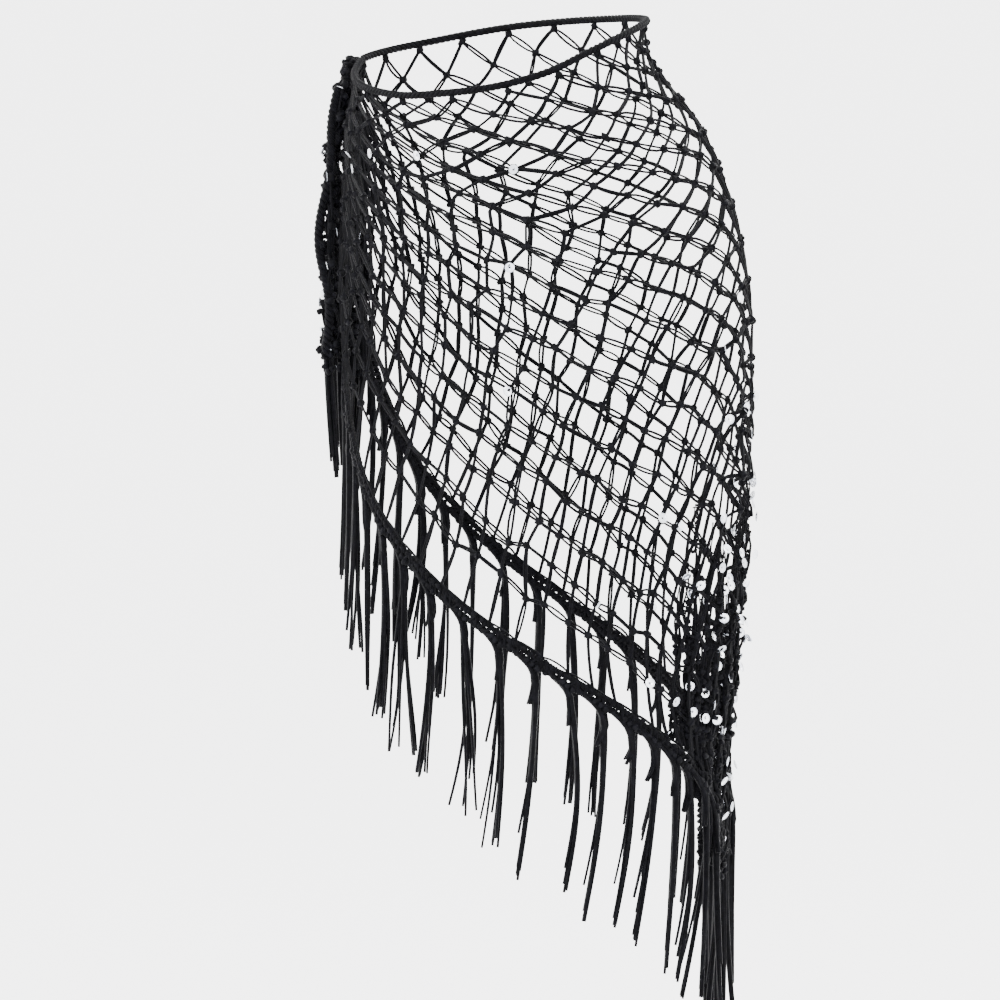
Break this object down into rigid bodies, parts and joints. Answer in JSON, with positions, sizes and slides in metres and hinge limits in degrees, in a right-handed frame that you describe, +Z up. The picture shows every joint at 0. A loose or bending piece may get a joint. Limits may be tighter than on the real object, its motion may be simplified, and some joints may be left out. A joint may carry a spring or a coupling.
{
  "type": "crocheted triangular hip scarf",
  "caption": "Black crocheted net hip scarf with a waist cord, thick border, tassel fringe and sequins, worn round the hips and knotted at the side.",
  "frame": {"origin": "centre of the waist ring, where the wearer's waist holds the scarf", "axes": "+Z up, the wearer faces -Y, +X is the wearer's left, where the scarf's third corner hangs"},
  "size_m": [0.3574, 0.2458, 0.796],
  "materials": {
    "net_yarn": "soft black crochet yarn with a slight sheen",
    "cord_yarn": "thick black crochet yarn, matt with a slight sheen",
    "tassel_yarn": "loose black yarn strands",
    "sequin": "clear and silver sequins"
  },
  "bodies": {
    "root": {"net_front": "net_yarn", "net_back": "net_yarn", "waist_cord_front": "cord_yarn", "waist_cord_back": "cord_yarn", "border_front": "cord_yarn", "border_back": "cord_yarn", "fringe_front": "tassel_yarn", "fringe_back": "tassel_yarn", "fringe_point": "tassel_yarn", "tied_corner_front": "net_yarn", "tied_corner_back": "net_yarn", "corner_fringe_front": "tassel_yarn", "corner_fringe_back": "tassel_yarn", "knot": "net_yarn"}
  },
  "joints": []
}
